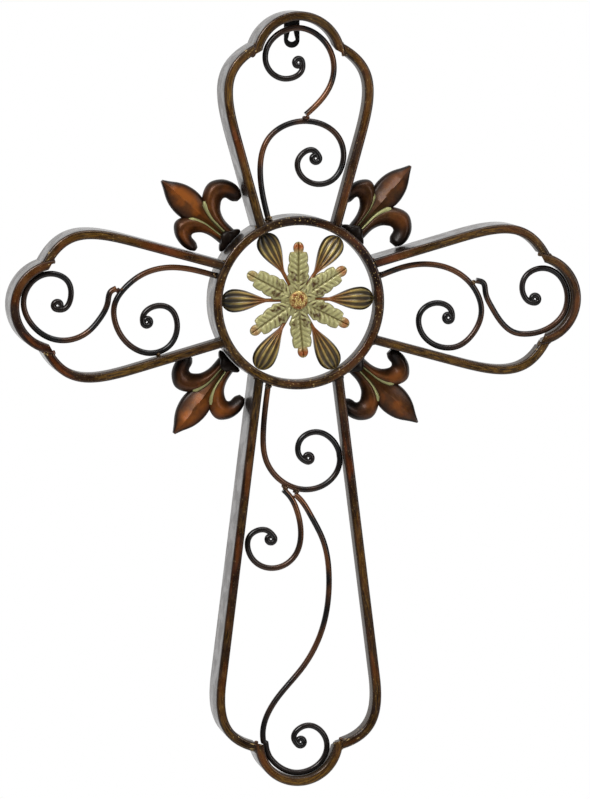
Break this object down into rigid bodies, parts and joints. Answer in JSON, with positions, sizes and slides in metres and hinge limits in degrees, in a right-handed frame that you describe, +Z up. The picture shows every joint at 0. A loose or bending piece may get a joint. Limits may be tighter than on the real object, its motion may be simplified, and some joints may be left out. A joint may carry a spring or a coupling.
{
  "type": "wall cross",
  "caption": "Openwork metal wall cross: folded sheet ring and flared arms, bent rod scrolls, cast flower in the ring and fleurs-de-lis between the arms.",
  "frame": {"origin": "where the nail carries the hanger plate: the seat of the keyhole's narrow end, in the plane of the wall", "axes": "+Z up, the wall is the plane Y = 0, the front faces -Y, X runs along the side arms"},
  "size_m": [0.5664, 0.041, 0.761],
  "materials": {
    "patinated_frame": "glossy lacquered patina, dark brown with copper and golden-olive blotches and near-black edges",
    "gunmetal_rod": "dark gunmetal with copper rubbed stretches and thin highlights",
    "copper_fleur": "rubbed copper over dark patina, near-black at the collar and the curled ends",
    "olive_petals": "pale olive-yellow flutes with dark valleys and black-brown tips",
    "pale_green_leaves": "pale green patina with olive-brown spots and rust-orange tips",
    "gold_button": "golden-beige beaded casting",
    "black_plate": "black, satin"
  },
  "bodies": {
    "root": {"ring": "patinated_frame", "upper_arm_left_bar": "patinated_frame", "upper_arm_right_bar": "patinated_frame", "left_arm_lower_bar": "patinated_frame", "left_arm_upper_bar": "patinated_frame", "lower_arm_right_bar": "patinated_frame", "lower_arm_left_bar": "patinated_frame", "right_arm_upper_bar": "patinated_frame", "right_arm_lower_bar": "patinated_frame", "upper_arm_bow": "patinated_frame", "left_arm_bow": "patinated_frame", "lower_arm_bow": "patinated_frame", "right_arm_bow": "patinated_frame", "upper_arm_inner_scroll": "gunmetal_rod", "upper_arm_outer_scroll": "gunmetal_rod", "left_arm_inner_scroll": "gunmetal_rod", "left_arm_outer_scroll": "gunmetal_rod", "right_arm_inner_scroll": "gunmetal_rod", "right_arm_outer_scroll": "gunmetal_rod", "lower_arm_ring_scroll": "gunmetal_rod", "lower_arm_side_scroll": "gunmetal_rod", "lower_arm_long_scroll": "gunmetal_rod", "fleur_upper_left": "copper_fleur", "fleur_upper_right": "copper_fleur", "fleur_lower_left": "copper_fleur", "fleur_lower_right": "copper_fleur", "petal_rosette": "olive_petals", "leaf_rosette": "pale_green_leaves", "centre_button": "gold_button", "hanger_plate": "black_plate"}
  },
  "joints": []
}
